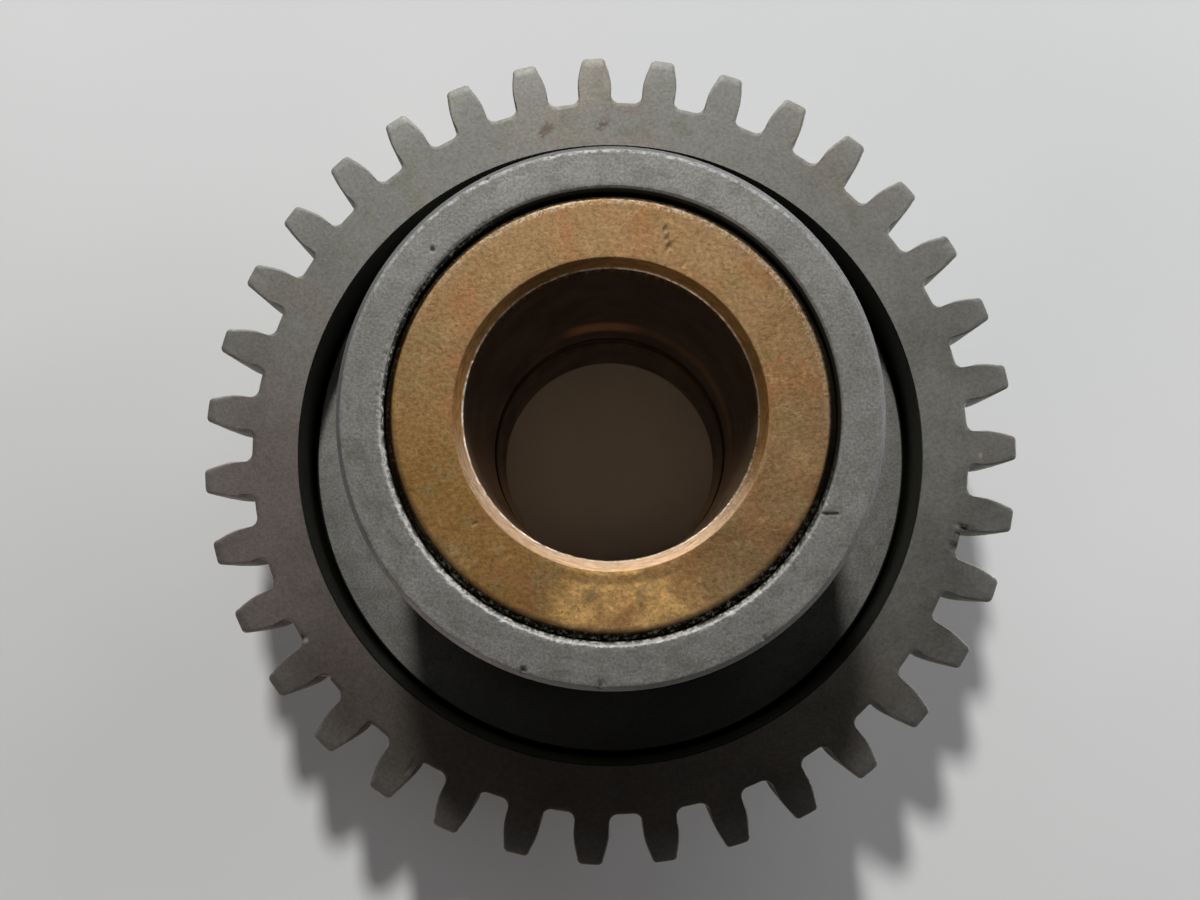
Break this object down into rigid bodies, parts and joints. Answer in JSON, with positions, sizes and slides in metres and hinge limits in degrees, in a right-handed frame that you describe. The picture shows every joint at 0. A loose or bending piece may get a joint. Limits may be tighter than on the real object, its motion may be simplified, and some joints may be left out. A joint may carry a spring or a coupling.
{
  "type": "bushed spur gear",
  "caption": "Spur gear with straight teeth, a recessed web and a tall plain hub, turning on thick bronze bushes that line its shaft bore.",
  "frame": {"origin": "centre of the hub's rear end, on the gear's axis", "axes": "+Z along the gear's axis towards the hub's front end, +X through the middle of one tooth"},
  "size_m": [0.1109, 0.111, 0.06],
  "materials": {
    "ring_steel": "matt, mottled",
    "hub_steel": "fine turned",
    "bronze": "dull, granular",
    "bolt_steel": "black oxide",
    "dowel_steel": "ground"
  },
  "bodies": {
    "bushes": {"front_bush": "bronze", "rear_bush": "bronze"},
    "gear": {"toothed_ring": "ring_steel", "flanged_hub": "hub_steel", "ring_bolt_1": "bolt_steel", "ring_bolt_2": "bolt_steel", "ring_bolt_3": "bolt_steel", "ring_bolt_4": "bolt_steel", "ring_bolt_5": "bolt_steel", "ring_bolt_6": "bolt_steel", "ring_bolt_7": "bolt_steel", "ring_bolt_8": "bolt_steel", "spring_washer_1": "bolt_steel", "spring_washer_2": "bolt_steel", "spring_washer_3": "bolt_steel", "spring_washer_4": "bolt_steel", "spring_washer_5": "bolt_steel", "spring_washer_6": "bolt_steel", "spring_washer_7": "bolt_steel", "spring_washer_8": "bolt_steel", "dowel_pin_1": "dowel_steel", "dowel_pin_2": "dowel_steel"}
  },
  "joints": [
    {"name": "gear_spin", "type": "hinge", "parent": "bushes", "child": "gear", "pos_m": [0, 0, 0.03], "axis": [0, 0, 1], "continuous": true}
  ]
}
